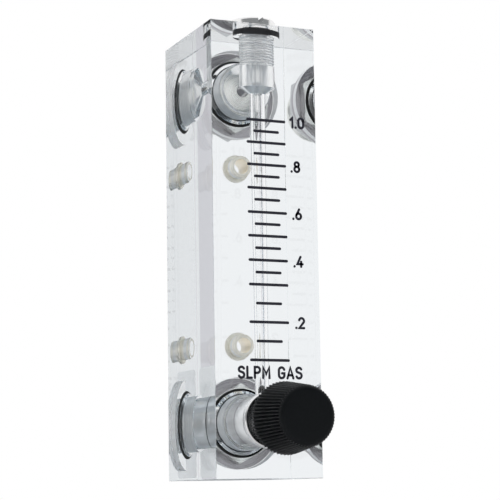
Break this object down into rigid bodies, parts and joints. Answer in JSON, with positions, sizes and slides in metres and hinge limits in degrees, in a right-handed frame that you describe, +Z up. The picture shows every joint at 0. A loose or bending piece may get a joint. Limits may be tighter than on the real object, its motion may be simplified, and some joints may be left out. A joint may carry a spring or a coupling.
{
  "type": "rotameter",
  "caption": "Clear-block rotameter with a tapered tube and ball float, a fluted needle-valve knob in front and threaded ports with panel nuts behind.",
  "frame": {"origin": "centre of the clear block's flat bottom face", "axes": "+Z up along the metering tube; the scale and the knob face -Y; the ports open towards +Y"},
  "size_m": [0.0254, 0.0593, 0.1036],
  "materials": {
    "clear_polycarbonate": "clear polished, transparent",
    "polished_metal": "polished, turned",
    "satin_metal": "satin, turned",
    "washer_metal": "concentric brushed",
    "insert_brass": "pale, knurled",
    "seal_rubber": "black nitrile",
    "float_glass": "black, polished",
    "knob_plastic": "black, satin moulded"
  },
  "bodies": {
    "meter_body": {"body_block": "clear_polycarbonate", "top_plug": "polished_metal", "plug_o_ring": "seal_rubber", "upper_adapter": "satin_metal", "upper_adapter_o_ring": "seal_rubber", "upper_panel_washer": "washer_metal", "upper_panel_nut": "satin_metal", "lower_adapter": "satin_metal", "lower_adapter_o_ring": "seal_rubber", "lower_panel_washer": "washer_metal", "lower_panel_nut": "satin_metal", "upper_mount_insert": "insert_brass", "lower_mount_insert": "insert_brass", "valve_bonnet": "polished_metal", "bonnet_front_o_ring": "seal_rubber", "bonnet_back_o_ring": "seal_rubber"},
    "float": {"float_ball": "float_glass"},
    "stem_seal": {"stem_o_ring": "seal_rubber"},
    "spindle": {"valve_stem": "polished_metal", "knob": "knob_plastic"}
  },
  "joints": [
    {"name": "float_rise", "type": "slide", "parent": "meter_body", "child": "float", "axis": [0, 0, 1], "range_m": [0, 0.0617]},
    {"name": "valve_travel", "type": "slide", "parent": "meter_body", "child": "stem_seal", "axis": [0, -1, 0], "range_m": [0, 0.00317]},
    {"name": "knob_turn", "type": "hinge", "parent": "stem_seal", "child": "spindle", "pos_m": [0, -0.0143, 0.0127], "axis": [0, -1, 0], "range_deg": [0, 1440]}
  ],
  "couplings": [
    {"joint": "knob_turn", "follows": "valve_travel", "rad_per_m": 7915.8}
  ]
}
